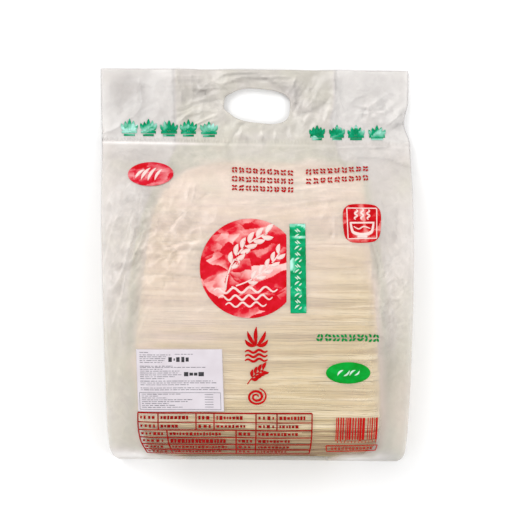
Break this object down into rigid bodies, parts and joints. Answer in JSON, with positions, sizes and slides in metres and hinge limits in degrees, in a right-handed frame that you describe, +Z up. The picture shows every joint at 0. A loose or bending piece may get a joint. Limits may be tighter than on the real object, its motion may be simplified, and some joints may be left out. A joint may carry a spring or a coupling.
{
  "type": "pack of dried rice vermicelli",
  "caption": "Clear film bag of dried rice vermicelli with folded side gussets, a heat-sealed head with a punched hand hole, and a paper label; it lies on its back.",
  "frame": {"origin": "middle of the bag's footprint, on the surface that it lies on", "axes": "+Z up out of the printed front, +Y from the sealed foot to the carrying head, +X to the right as the front is read"},
  "size_m": [0.324, 0.408, 0.0777],
  "materials": {
    "film": "clear polyethylene film, crinkled, over pale cream noodles",
    "noodles": "dried rice vermicelli, pale cream, satin",
    "print_red": "red ink on film",
    "print_green": "green ink on film",
    "label_paper": "white coated label paper"
  },
  "bodies": {
    "root": {"filled_bag": "film", "label": "label_paper"}
  },
  "joints": []
}
